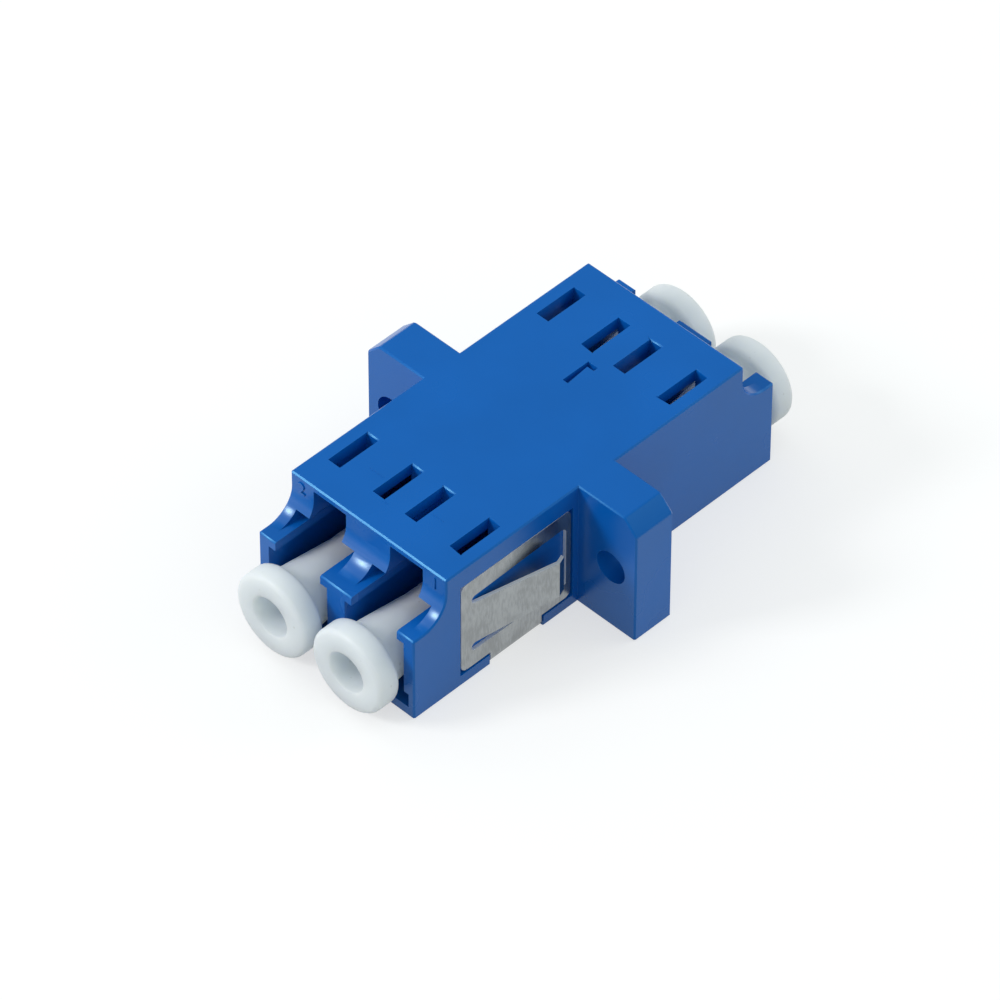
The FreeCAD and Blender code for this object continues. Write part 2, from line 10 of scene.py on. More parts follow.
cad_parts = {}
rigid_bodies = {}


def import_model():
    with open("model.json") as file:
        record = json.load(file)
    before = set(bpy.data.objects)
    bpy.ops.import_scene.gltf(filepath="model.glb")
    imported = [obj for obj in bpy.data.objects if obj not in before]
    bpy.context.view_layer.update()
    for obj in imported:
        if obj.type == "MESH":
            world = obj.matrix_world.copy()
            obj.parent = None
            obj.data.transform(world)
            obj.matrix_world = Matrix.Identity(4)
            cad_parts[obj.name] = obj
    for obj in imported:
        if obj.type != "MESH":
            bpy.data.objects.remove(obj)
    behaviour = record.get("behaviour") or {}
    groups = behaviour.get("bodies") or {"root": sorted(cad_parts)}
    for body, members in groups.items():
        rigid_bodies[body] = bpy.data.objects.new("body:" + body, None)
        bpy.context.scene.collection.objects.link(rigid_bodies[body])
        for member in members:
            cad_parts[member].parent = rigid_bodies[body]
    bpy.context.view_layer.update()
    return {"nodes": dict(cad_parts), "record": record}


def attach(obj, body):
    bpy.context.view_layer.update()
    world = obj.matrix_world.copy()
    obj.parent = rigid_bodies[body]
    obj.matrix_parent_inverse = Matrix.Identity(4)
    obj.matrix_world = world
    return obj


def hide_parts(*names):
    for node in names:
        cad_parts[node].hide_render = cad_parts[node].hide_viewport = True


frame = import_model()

# Looks for a duplex fibre adapter: the finishes of its moulded housing, spring clip, sleeves and
# holders, soft dust caps, the port numerals, and a plain studio. Metres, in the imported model's frame.

bl_info = {
    "name": "Fibre Adapter Looks",
    "version": (1, 0, 0),
    "blender": (4, 5, 0),
    "location": "3D View > Sidebar > Adapter",
    "description": "Finishes, dust caps, port numerals and studio for a duplex fibre adapter",
    "category": "Object",
}

MM = 0.001
CAPS = sorted(name for name in frame["nodes"] if name.startswith("dust_cap"))
HOLDERS = sorted(name for name in frame["nodes"] if name.startswith("sleeve_holder"))
SLEEVES = sorted(name for name in frame["nodes"] if name in ("sleeve_left", "sleeve_right"))
BODIES = frame["record"]["behaviour"]["bodies"]
BODY_OF = {node: body for body, nodes in BODIES.items() for node in nodes}

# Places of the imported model: the ports' axes, the housing's ends and sides, its roof and roof windows
PORT_SIDE, PORT_AXIS = 3.125 * MM, 3.25 * MM
END_FACE, LIP_FACE, SIDE_FACE = 12.3 * MM, 14.95 * MM, 6.35 * MM
LIP_HEIGHT, ROOF = 6.4 * MM, 9.5 * MM
WINDOW_NEAR, WINDOW_FAR = 7.0 * MM, 10.15 * MM

# A dust cap's lengths from the middle of the adapter and its radii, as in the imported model
CAP_TIP, HOLLOW_FLOOR, GRIP_FLOOR = 8.2 * MM, 12.6 * MM, 13.35 * MM
HEAD_BACK, HEAD_FRONT = 15.6 * MM, 17.25 * MM
STEM_HOLLOW, STEM_OUTER, GRIP_RADIUS = 1.2 * MM, 2.1 * MM, 1.375 * MM
# The same for what is slimmer here: the head, the stem's inner end up to STEM_SLIM, and the flare
HEAD_RADIUS, STEM_INNER, STEM_SLIM, FLARE = 2.85 * MM, 1.7 * MM, 11.0 * MM, 0.5 * MM

# Each numeral's figure, place across the front end face and place above the underside in millimetres
NUMERALS = (("1", 5.42, 8.62), ("2", -5.42, 8.62))
FIGURE_SHARE = 0.7  # height of a figure in the built-in type as a share of the type's size
STROKE_TRIM, NUMERAL_BEVEL = 0.012 * MM, 0.02 * MM

# Each mould line's left end, right end and place along the roof in millimetres
MOULD_LINES = ((-3.28, -2.08, -8.95), (-0.80, -0.40, -10.28), (1.95, 2.88, -9.05))
MOULD_LINE_WIDTH, MOULD_LINE_HEIGHT = 0.07 * MM, 0.05 * MM
MOULD_LINE_TOP = (0.96, 0.25, 1)

# Each lamp's name, place and size
LAMPS = (
    ("key_lamp", (-0.28, -0.42, 0.33), 0.15),
    ("fill_lamp", (-0.45, 0.06, 0.39), 0.30),
    ("rear_lamp", (0.32, 0.50, 0.28), 0.35),
)
SKY_TINT = (0.92, 1.0, 1.0)
FLOOR_RADIUS, FLOOR_DROP = 4.0, 0.02 * MM
CLIP_NEAR, CLIP_FAR = 0.01, 20.0

# How near two places count as one, on a copy of a CAD node and on a piece made here
CAD_MERGE, OWN_MERGE = 1e-6, 1e-7
FLAT_ANGLE, BEVEL_ANGLE = math.radians(1.0), math.radians(28)
SHARP_TURN = 0.5  # radians between two faces from which an edge can be picked


class AdapterColours(PropertyGroup):
    """Base colours of the adapter's materials."""

    housing: FloatVectorProperty(
        name="Housing", description="Blue of the moulded housing", subtype="COLOR",
        default=(0.0018, 0.113, 0.472), min=0, max=1)
    # Paler blue painted along the housing's edges as a highlight, where they would catch the light
    housing_edge_highlight: FloatVectorProperty(
        name="Housing edges", description="Paler blue painted along the moulding's edges as a highlight",
        subtype="COLOR", default=(0.03, 0.20, 0.58), min=0, max=1)
    clip: FloatVectorProperty(
        name="Clip", description="Colour of the spring steel", subtype="COLOR",
        default=(0.355, 0.375, 0.38), min=0, max=1)
    # Near-white steel on the sheared edges: partly their rougher finish, partly a painted highlight
    clip_edge_and_glint: FloatVectorProperty(
        name="Clip edges", description="Paler steel of the sheared edges: their rougher finish, with a painted highlight", subtype="COLOR",
        default=(0.85, 0.86, 0.87), min=0, max=1)
    cap: FloatVectorProperty(
        name="Dust caps", description="Milky white of the soft caps", subtype="COLOR",
        default=(0.79, 0.85, 0.89), min=0, max=1)
    sleeve: FloatVectorProperty(
        name="Sleeves", description="Ceramic of the alignment sleeves", subtype="COLOR",
        default=(0.86, 0.86, 0.82), min=0, max=1)


class AdapterSizes(PropertyGroup):
    """Sizes of the pieces that are modelled here."""

    edge_softness: FloatProperty(
        name="Edge softness", description="Width of the small rounds on the housing's edges",
        subtype="DISTANCE", default=0.04 * MM, min=0, precision=6)
    window_round: FloatProperty(
        name="Window bevels", description="Bevels on the ends of the latch windows", subtype="DISTANCE",
        default=0.1 * MM, min=0, precision=6)
    corner_round: FloatProperty(
        name="Corner rounds", description="Rounds on the housing's upright outer corners",
        subtype="DISTANCE", default=0.22 * MM, min=0, precision=6)
    sheet_softness: FloatProperty(
        name="Sheet softness", description="Width of the small rounds on the clip's edges",
        subtype="DISTANCE", default=0.03 * MM, min=0, precision=6)
    numeral_height: FloatProperty(
        name="Numeral height", description="Height of the port numerals", subtype="DISTANCE",
        default=0.85 * MM, min=0, precision=6)
    numeral_relief: FloatProperty(
        name="Numeral relief", description="How far the port numerals stand out", subtype="DISTANCE",
        default=0.06 * MM, min=0, precision=6)
    cap_rim: FloatProperty(
        name="Cap rim", description="Round on the outer rim of a cap's head", subtype="DISTANCE",
        default=0.35 * MM, min=0, precision=6)
    cap_mouth: FloatProperty(
        name="Cap mouth", description="Round on the mouth of the hole in a cap's head",
        subtype="DISTANCE", default=0.1 * MM, min=0, precision=6)
    cap_steps: IntProperty(
        name="Cap steps", description="Steps round a cap", default=96, min=12, max=256)


class AdapterStudio(PropertyGroup):
    """Camera, lamps and floor."""

    azimuth: FloatProperty(
        name="Azimuth", description="Direction that the camera stands in", subtype="ANGLE",
        default=math.radians(44.62))
    elevation: FloatProperty(
        name="Elevation", description="Height of the camera above the floor as an angle", subtype="ANGLE",
        default=math.radians(45.17))
    roll: FloatProperty(
        name="Roll", description="Turn of the camera about its own line of sight", subtype="ANGLE",
        default=math.radians(-0.14))
    distance: FloatProperty(
        name="Distance", description="Camera to the middle of the underside", subtype="DISTANCE",
        default=0.48693, min=0.1)
    aim: FloatVectorProperty(
        name="Aim", description="Sideways and upward place of the camera", subtype="TRANSLATION", size=2,
        default=(-1.07 * MM, 1.97 * MM))
    focal_length: FloatProperty(
        name="Focal length", description="Focal length of the camera in millimetres",
        default=298.02, min=1)
    floor_colour: FloatVectorProperty(
        name="Floor", description="Colour of the floor", subtype="COLOR", default=(0.44, 0.44, 0.44),
        min=0, max=1)
    floor_glow: FloatProperty(
        name="Floor glow", description="White that the floor shows by itself", default=0.61, min=0, max=1)
    sky: FloatProperty(name="Sky", description="Strength of the even light", default=0.61, min=0)
    key_power: FloatProperty(name="Key lamp", description="Power of the soft box at the front left",
                             subtype="POWER", default=1.6, min=0)
    fill_power: FloatProperty(name="Fill lamp", description="Power of the soft box at the left",
                              subtype="POWER", default=0.2, min=0)
    rear_power: FloatProperty(name="Rear lamp", description="Power of the soft box behind the adapter",
                              subtype="POWER", default=0.85, min=0)


def settings():
    """The three groups of settings."""
    scene = bpy.context.scene
    return scene.adapter_colours, scene.adapter_sizes, scene.adapter_studio


# Selection and mesh helpers


def select_only(piece):
    """Makes the piece the only selected object and the active one."""
    bpy.ops.object.select_all(action="DESELECT")
    piece.hide_set(False)
    piece.select_set(True)
    bpy.context.view_layer.objects.active = piece


def name_piece(piece, name):
    """Gives an object and its mesh the same plain name."""
    piece.name = name
    piece.data.name = name


def place_in_mesh(piece):
    """Moves the object's place, turn and size into its mesh."""
    select_only(piece)
    bpy.ops.object.transform_apply(location=True, rotation=True, scale=True)


def apply_modifiers(piece):
    """Applies every modifier of the piece in order."""
    select_only(piece)
    for modifier in list(piece.modifiers):
        bpy.ops.object.modifier_apply(modifier=modifier.name)


def pick_faces(piece, wanted):
    """Selects, in edit mode, the faces whose centre and normal pass the test."""
    bpy.ops.mesh.select_mode(type="FACE")
    bpy.ops.mesh.select_all(action="DESELECT")
    mesh = bmesh.from_edit_mesh(piece.data)
    for face in mesh.faces:
        face.select = wanted(face.calc_center_median(), face.normal)
    mesh.select_flush(True)
    bmesh.update_edit_mesh(piece.data)


def pick_edges(piece, wanted):
    """Selects, in edit mode, the sharp edges whose two ends pass the test."""
    bpy.ops.mesh.select_mode(type="EDGE")
    bpy.ops.mesh.select_all(action="DESELECT")
    mesh = bmesh.from_edit_mesh(piece.data)
    for edge in mesh.edges:
        sharp = edge.calc_face_angle(0.0) > SHARP_TURN
        edge.select_set(sharp and wanted(edge.verts[0].co, edge.verts[1].co))
    bmesh.update_edit_mesh(piece.data)


def close_mesh(piece):
    """Merges doubled points and turns every face outwards."""
    select_only(piece)
    bpy.ops.object.mode_set(mode="EDIT")
    bpy.ops.mesh.select_all(action="SELECT")
    bpy.ops.mesh.remove_doubles(threshold=OWN_MERGE)
    bpy.ops.mesh.normals_make_consistent(inside=False)
    bpy.ops.object.mode_set(mode="OBJECT")


def softened_copy(node, name, softness, segments, larger=()):
    """A copy of a CAD node whose sharp edges carry a small round, and the picked ones a larger one."""
    select_only(frame["nodes"][node])
    bpy.ops.object.duplicate(linked=False)
    piece = bpy.context.view_layer.objects.active
    bpy.ops.object.parent_clear(type="CLEAR_KEEP_TRANSFORM")
    for key in list(piece.keys()):
        del piece[key]
    name_piece(piece, name)
    bpy.ops.object.mode_set(mode="EDIT")
    bpy.ops.mesh.select_all(action="SELECT")
    bpy.ops.mesh.remove_doubles(threshold=CAD_MERGE)
    bpy.ops.mesh.dissolve_limited(angle_limit=FLAT_ANGLE)
    bpy.ops.mesh.normals_make_consistent(inside=False)
    for wanted, width, steps in larger:
        pick_edges(piece, wanted)
        bpy.ops.mesh.bevel(offset=width, segments=steps, clamp_overlap=True)
    bpy.ops.object.mode_set(mode="OBJECT")
    bpy.ops.object.modifier_add(type="BEVEL")
    bevel = piece.modifiers[-1]
    bevel.limit_method = "ANGLE"
    bevel.angle_limit = BEVEL_ANGLE
    bevel.width = softness
    bevel.segments = segments
    bevel.use_clamp_overlap = True
    apply_modifiers(piece)
    even_shading(piece, sharp_angle=50)
    return piece


def even_shading(piece, sharp_angle):
    """Smooth shading, up to an angle in degrees, that keeps flat faces flat beside small rounds."""
    select_only(piece)
    bpy.ops.object.shade_smooth_by_angle(angle=math.radians(sharp_angle))
    bpy.ops.object.modifier_add(type="WEIGHTED_NORMAL")
    piece.modifiers[-1].keep_sharp = True
    apply_modifiers(piece)


def hand_over(piece, node, material):
    """The piece stands for a CAD node: same body, its own material."""
    piece.data.materials.clear()
    piece.data.materials.append(material)
    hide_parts(node)
    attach(piece, BODY_OF[node])


# Shader helpers


def new_tree(name, inputs, outputs):
    """A shader node group with named sockets."""
    group = bpy.data.node_groups.new(name, "ShaderNodeTree")
    for label, kind, default in inputs:
        socket = group.interface.new_socket(name=label, in_out="INPUT", socket_type=kind)
        if default is not None:
            socket.default_value = default
    for label, kind in outputs:
        group.interface.new_socket(name=label, in_out="OUTPUT", socket_type=kind)
    return group, Wiring(group)


class Wiring:
    """Adds nodes to a tree and links them by socket name."""

    def __init__(self, tree):
        self.tree = tree

    def node(self, kind, **choices):
        """A new node with its choices set."""
        node = self.tree.nodes.new(kind)
        for key, value in choices.items():
            setattr(node, key, value)
        return node

    def link(self, source, target):
        """Links an output to an input."""
        self.tree.links.new(source, target)

    def put(self, target, value):
        """Links a socket, or sets its value."""
        if isinstance(value, bpy.types.NodeSocket):
            self.link(value, target)
        else:
            target.default_value = value

    def math(self, operation, first, second=0.0):
        """One step of arithmetic, on one value or two."""
        node = self.node("ShaderNodeMath", operation=operation)
        self.put(node.inputs[0], first)
        self.put(node.inputs[1], second)
        return node.outputs[0]

    def noise(self, vector, scale, detail=3.0, roughness=0.5):
        """A cloudy value between 0 and 1."""
        node = self.node("ShaderNodeTexNoise")
        self.link(vector, node.inputs["Vector"])
        self.put(node.inputs["Scale"], scale)
        node.inputs["Detail"].default_value = detail
        node.inputs["Roughness"].default_value = roughness
        return node.outputs["Fac"]

    def band(self, value, low, high, to_low=0.0, to_high=1.0):
        """A smooth step from one value to another as the input goes from low to high."""
        node = self.node("ShaderNodeMapRange", interpolation_type="SMOOTHSTEP")
        self.put(node.inputs["Value"], value)
        limits = {"From Min": low, "From Max": high, "To Min": to_low, "To Max": to_high}
        for label, number in limits.items():
            self.put(node.inputs[label], number)
        return node.outputs["Result"]

    def mix(self, factor, first, second):
        """A colour between two others."""
        node = self.node("ShaderNodeMix", data_type="RGBA")
        self.put(node.inputs["Factor"], factor)
        self.put(node.inputs[6], first)
        self.put(node.inputs[7], second)
        return node.outputs[2]

    def mapping(self, vector, scale=(1, 1, 1), rotation=(0, 0, 0)):
        """Coordinates turned and stretched for a pattern with a direction."""
        node = self.node("ShaderNodeMapping")
        self.link(vector, node.inputs["Vector"])
        node.inputs["Scale"].default_value = scale
        node.inputs["Rotation"].default_value = rotation
        return node.outputs["Vector"]

    def bump(self, height, strength, distance):
        """A normal that follows a height."""
        node = self.node("ShaderNodeBump")
        self.link(height, node.inputs["Height"])
        node.inputs["Strength"].default_value = strength
        node.inputs["Distance"].default_value = distance
        return node.outputs["Normal"]


def moulded_surface():
    """Group: the slow flow marks, fine matt grain and sparse specks of a moulded plastic."""
    existing = bpy.data.node_groups.get("moulded_surface")
    if existing:
        return existing
    group, w = new_tree(
        "moulded_surface",
        [("Vector", "NodeSocketVector", None), ("Flow Scale", "NodeSocketFloat", 140.0),
         ("Grain Scale", "NodeSocketFloat", 9000.0), ("Speck Share", "NodeSocketFloat", 0.82)],
        [("Flow", "NodeSocketFloat"), ("Specks", "NodeSocketFloat"), ("Height", "NodeSocketFloat")])
    source = w.node("NodeGroupInput")
    sink = w.node("NodeGroupOutput")
    vector = source.outputs["Vector"]
    flow = w.noise(vector, source.outputs["Flow Scale"])
    grain = w.noise(vector, source.outputs["Grain Scale"], roughness=0.6)
    speck_noise = w.noise(vector, 3200.0, detail=0.0, roughness=0.4)
    level = source.outputs["Speck Share"]
    specks = w.band(speck_noise, level, w.math("ADD", level, 0.03))
    w.link(w.band(flow, 0.15, 0.85), sink.inputs["Flow"])
    w.link(specks, sink.inputs["Specks"])
    w.link(grain, sink.inputs["Height"])
    return group


def edge_catch():
    """Group: a mask of the edges, from how far the surface turns within a small radius."""
    existing = bpy.data.node_groups.get("edge_catch")
    if existing:
        return existing
    group, w = new_tree(
        "edge_catch",
        [("Vector", "NodeSocketVector", None), ("Radius", "NodeSocketFloat", 0.1 * MM)],
        [("Mask", "NodeSocketFloat")])
    source = w.node("NodeGroupInput")
    sink = w.node("NodeGroupOutput")
    rounded = w.node("ShaderNodeBevel", samples=6)
    w.link(source.outputs["Radius"], rounded.inputs["Radius"])
    geometry = w.node("ShaderNodeNewGeometry")
    agreement = w.node("ShaderNodeVectorMath", operation="DOT_PRODUCT")
    w.link(rounded.outputs["Normal"], agreement.inputs[0])
    w.link(geometry.outputs["Normal"], agreement.inputs[1])
    turned = w.math("SUBTRACT", 1.0, agreement.outputs["Value"])
    patchy = w.noise(source.outputs["Vector"], 700.0, roughness=0.6)
    # The edge mask, made patchy, is where a paler highlight is painted
    patchy_highlight = w.math("MULTIPLY", w.band(turned, 0.02, 0.22), w.band(patchy, 0.25, 0.65, 0.55, 1.0))
    w.link(patchy_highlight, sink.inputs["Mask"])
    return group


def new_material(name):
    """A material with an empty tree, its shader and its object coordinates."""
    material = bpy.data.materials.new(name)
    material.use_nodes = True
    tree = material.node_tree
    tree.nodes.clear()
    w = Wiring(tree)
    output = w.node("ShaderNodeOutputMaterial")
    shader = w.node("ShaderNodeBsdfPrincipled")
    w.link(shader.outputs["BSDF"], output.inputs["Surface"])
    vector = w.node("ShaderNodeTexCoord").outputs["Object"]
    return material, w, shader, vector


def colour(value, gain=1.0):
    """A colour socket's four numbers."""
    return [channel * gain for channel in value] + [1.0]


def moulded_blue(name="moulded_blue"):
    """Satin blue plastic with a paler highlight painted along its edges, and glossier scoops."""
    colours, _, _ = settings()
    material, w, shader, vector = new_material(name)
    surface = w.node("ShaderNodeGroup", node_tree=moulded_surface())
    w.link(vector, surface.inputs["Vector"])
    surface.inputs["Flow Scale"].default_value = 160.0
    surface.inputs["Grain Scale"].default_value = 7000.0
    edges = w.node("ShaderNodeGroup", node_tree=edge_catch())
    w.link(vector, edges.inputs["Vector"])
    edges.inputs["Radius"].default_value = 0.09 * MM
    base = w.mix(surface.outputs["Flow"], colour(colours.housing, 0.94), colour(colours.housing, 1.06))
    # A paler blue is painted along the edges as a highlight
    edged = w.mix(w.math("MULTIPLY", edges.outputs["Mask"], 0.25), base, colour(colours.housing_edge_highlight))
    w.link(edged, shader.inputs["Base Color"])
    rough = w.band(surface.outputs["Flow"], 0.0, 1.0, 0.24, 0.28)
    w.link(rough, shader.inputs["Roughness"])
    shader.inputs["Specular IOR Level"].default_value = 0.42
    shader.inputs["Specular Tint"].default_value = (0.3, 0.82, 1.0, 1.0)
    w.link(scoop_faces(w, vector), shader.inputs["Coat Weight"])
    shader.inputs["Coat Roughness"].default_value = 0.28
    w.link(w.bump(surface.outputs["Height"], 0.2, 0.004 * MM), shader.inputs["Normal"])
    return material


def scoop_faces(w, vector):
    """A mask of the scoops in the end faces, which are glossier than the flat faces."""
    parts = w.node("ShaderNodeSeparateXYZ")
    w.link(vector, parts.inputs["Vector"])
    along = w.math("ABSOLUTE", parts.outputs["Y"])
    past_end = w.band(along, END_FACE + 0.05 * MM, END_FACE + 0.25 * MM)
    above_lip = w.band(parts.outputs["Z"], LIP_HEIGHT + 0.03 * MM, LIP_HEIGHT + 0.15 * MM)
    turn = w.node("ShaderNodeSeparateXYZ")
    w.link(w.node("ShaderNodeTexCoord").outputs["Normal"], turn.inputs["Vector"])
    lengthways = w.band(w.math("ABSOLUTE", turn.outputs["X"]), 0.2, 0.6, 1.0, 0.0)
    return w.math("MULTIPLY", lengthways, w.math("MULTIPLY", past_end, above_lip))


def spring_steel():
    """Satin stainless sheet with faint rolling marks, and sheared edges painted bright: a rougher finish
    and a painted highlight.
    """
    colours, _, _ = settings()
    material, w, shader, vector = new_material("spring_steel")
    rolled = w.mapping(vector, (8000, 8000, 1800), (math.radians(-32), 0, 0))
    marks = w.noise(rolled, 1.0, detail=2.0)
    clouds = w.noise(vector, 650.0)
    tone = w.math("ADD", w.math("MULTIPLY", marks, 0.45), w.math("MULTIPLY", clouds, 0.55))
    base = w.mix(w.band(tone, 0.35, 0.65), colour(colours.clip, 0.80), colour(colours.clip, 1.08))
    sheared = sheared_edges(w)
    # The sheared edges that don't look down are painted near white: partly their rougher, less metallic
    # finish, partly a painted highlight
    edged = w.mix(sheared, base, colour(colours.clip_edge_and_glint))
    w.link(edged, shader.inputs["Base Color"])
    w.link(w.band(sheared, 0.0, 1.0, 1.0, 0.3), shader.inputs["Metallic"])
    satin = w.band(clouds, 0.3, 0.7, 0.25, 0.20)
    w.link(w.math("ADD", satin, w.math("MULTIPLY", sheared, 0.28)), shader.inputs["Roughness"])
    w.link(w.bump(marks, 0.12, 0.0015 * MM), shader.inputs["Normal"])
    return material


def sheared_edges(w):
    """A mask of the cut edges of the side plates, whose faces don't look sideways or down, where a
    highlight is painted.
    """
    normal = w.node("ShaderNodeTexCoord").outputs["Normal"]
    parts = w.node("ShaderNodeSeparateXYZ")
    w.link(normal, parts.inputs["Vector"])
    sideways = w.math("ABSOLUTE", parts.outputs["X"])
    upright = w.band(sideways, 0.55, 0.8, 1.0, 0.0)
    return w.math("MULTIPLY", upright, w.band(parts.outputs["Z"], -0.6, -0.3))


def milky_plastic():
    """Soft, slightly see-through white plastic."""
    colours, _, _ = settings()
    material, w, shader, vector = new_material("milky_plastic")
    surface = w.node("ShaderNodeGroup", node_tree=moulded_surface())
    w.link(vector, surface.inputs["Vector"])
    surface.inputs["Flow Scale"].default_value = 260.0
    surface.inputs["Grain Scale"].default_value = 5200.0
    base = w.mix(surface.outputs["Flow"], colour(colours.cap, 0.96), colour(colours.cap, 1.03))
    dusty = w.mix(w.math("MULTIPLY", surface.outputs["Specks"], 0.25), base, colour((0.45, 0.46, 0.42)))
    w.link(dusty, shader.inputs["Base Color"])
    w.link(w.band(surface.outputs["Flow"], 0.0, 1.0, 0.38, 0.48), shader.inputs["Roughness"])
    shader.inputs["Subsurface Weight"].default_value = 1.0
    shader.inputs["Subsurface Radius"].default_value = (1.0, 1.0, 0.9)
    shader.inputs["Subsurface Scale"].default_value = 2.4 * MM
    shader.inputs["Specular IOR Level"].default_value = 0.4
    w.link(w.bump(surface.outputs["Height"], 0.2, 0.006 * MM), shader.inputs["Normal"])
    return material


def zirconia():
    """Polished ceramic with a faint warm tint."""
    colours, _, _ = settings()
    material, w, shader, vector = new_material("zirconia")
    clouds = w.noise(vector, 900.0, detail=2.0)
    base = w.mix(w.band(clouds, 0.3, 0.7), colour(colours.sleeve, 0.97), colour(colours.sleeve, 1.02))
    w.link(base, shader.inputs["Base Color"])
    w.link(w.band(clouds, 0.3, 0.7, 0.12, 0.2), shader.inputs["Roughness"])
    lapping = w.noise(w.mapping(vector, (2000, 30000, 2000)), 1.0, detail=2.0)
    w.link(w.bump(lapping, 0.1, 0.002 * MM), shader.inputs["Normal"])
    return material


def finish_node(node, material):
    """Gives a CAD node its material."""
    slots = frame["nodes"][node].data.materials
    slots.clear()
    slots.append(material)


# The pieces


class ADAPTER_OT_housing(Operator):
    """Soften the housing's edges and give it its moulded blue"""

    bl_idname = "adapter.housing"
    bl_label = "Housing"
    bl_options = {"REGISTER", "UNDO"}

    def execute(self, context):
        _, sizes, _ = settings()
        larger = ((window_end, sizes.window_round, 1), (outer_corner, sizes.corner_round, 3))
        shell = softened_copy("housing", "housing_shell", sizes.edge_softness, 3, larger)
        hand_over(shell, "housing", moulded_blue())
        return {"FINISHED"}


def outer_corner(first, second):
    """An upright edge at an outer corner of the housing's ends."""
    reach = 0.12 * MM
    upright = abs(first.x - second.x) < CAD_MERGE and abs(first.y - second.y) < CAD_MERGE
    at_side = abs(abs(first.x) - SIDE_FACE) < reach
    at_end = min(abs(abs(first.y) - END_FACE), abs(abs(first.y) - LIP_FACE)) < reach
    return upright and at_side and at_end


def window_end(first, second):
    """An edge on the roof at either end of a latch window."""
    shortest, beside, reach = 0.5 * MM, 0.01 * MM, 6.0 * MM
    on_roof = min(first.z, second.z) > ROOF - CAD_MERGE
    across = abs(first.y - second.y) < CAD_MERGE and abs(first.x - second.x) > shortest
    at_end = min(abs(abs(first.y) - WINDOW_NEAR), abs(abs(first.y) - WINDOW_FAR)) < beside
    return on_roof and across and at_end and abs(first.x) < reach


class ADAPTER_OT_clip(Operator):
    """Soften the clip's edges and give it its brushed steel"""

    bl_idname = "adapter.clip"
    bl_label = "Panel clip"
    bl_options = {"REGISTER", "UNDO"}

    def execute(self, context):
        _, sizes, _ = settings()
        clip = softened_copy("panel_clip", "spring_clip", sizes.sheet_softness, 2)
        hand_over(clip, "panel_clip", spring_steel())
        return {"FINISHED"}


class ADAPTER_OT_inner_pieces(Operator):
    """Finish the alignment sleeves and their holders"""

    bl_idname = "adapter.inner_pieces"
    bl_label = "Sleeves and holders"
    bl_options = {"REGISTER", "UNDO"}

    def execute(self, context):
        blue = moulded_blue("holder_blue")
        ceramic = zirconia()
        for node in HOLDERS:
            finish_node(node, blue)
        for node in SLEEVES:
            finish_node(node, ceramic)
        return {"FINISHED"}


class ADAPTER_OT_dust_caps(Operator):
    """Model one soft dust cap with its rounds and set a copy of it in each port"""

    bl_idname = "adapter.dust_caps"
    bl_label = "Dust caps"
    bl_options = {"REGISTER", "UNDO"}

    def execute(self, context):
        white = milky_plastic()
        first = turned_cap()
        for node in CAPS:
            select_only(first)
            bpy.ops.object.duplicate(linked=False)
            cap = bpy.context.view_layer.objects.active
            name_piece(cap, "soft_" + node)
            turn = math.pi if "rear" in node else 0.0
            side = -PORT_SIDE if "left" in node else PORT_SIDE
            cap.rotation_euler = (0, 0, turn)
            cap.location = (side, 0, PORT_AXIS)
            place_in_mesh(cap)
            hand_over(cap, node, white)
        select_only(first)
        bpy.ops.object.delete()
        return {"FINISHED"}


def arc(centre, radii, start, end, steps):
    """Points of a round in the plane of length and radius, from one angle to another."""
    points = []
    for step in range(steps + 1):
        angle = math.radians(start + (end - start) * step / steps)
        points.append((centre[0] + radii[0] * math.cos(angle), centre[1] + radii[1] * math.sin(angle)))
    return points


def cap_outline(sizes):
    """Length from the middle of the adapter and radius, from the stem's hollow to the grip hole."""
    rim, mouth = sizes.cap_rim, sizes.cap_mouth
    # The bevel at the hollow's floor, the rounds inside and outside the stem's tip, and the grip hole's
    bevel, inside, lead, seat = 0.2 * MM, 0.15 * MM, 0.3 * MM, 0.25 * MM
    # The round behind the head: where its centre lies, its run along the cap and its rise
    behind, run, rise = 0.38 * MM, 0.40 * MM, 0.42 * MM
    points = [(HOLLOW_FLOOR, STEM_HOLLOW - bevel), (HOLLOW_FLOOR - bevel, STEM_HOLLOW)]
    points += arc((CAP_TIP + inside, STEM_HOLLOW + inside), (inside, inside), 270, 180, 3)
    points += arc((CAP_TIP + lead, STEM_INNER - lead), (lead, lead), 180, 90, 6)
    points += [(STEM_SLIM, STEM_INNER), (HEAD_BACK - FLARE, STEM_OUTER)]
    points += arc((HEAD_BACK - FLARE, STEM_OUTER + FLARE), (FLARE, FLARE), 270, 342, 9)[1:]
    points += arc((HEAD_BACK + behind, HEAD_RADIUS - rise), (run, rise), 160, 90, 8)
    points += arc((HEAD_FRONT - rim, HEAD_RADIUS - rim), (rim, rim), 90, 0, 10)
    points += arc((HEAD_FRONT - mouth, GRIP_RADIUS + mouth), (mouth, mouth), 0, -90, 6)
    points += arc((GRIP_FLOOR + seat, GRIP_RADIUS - seat), (seat, seat), 90, 180, 4)
    return points


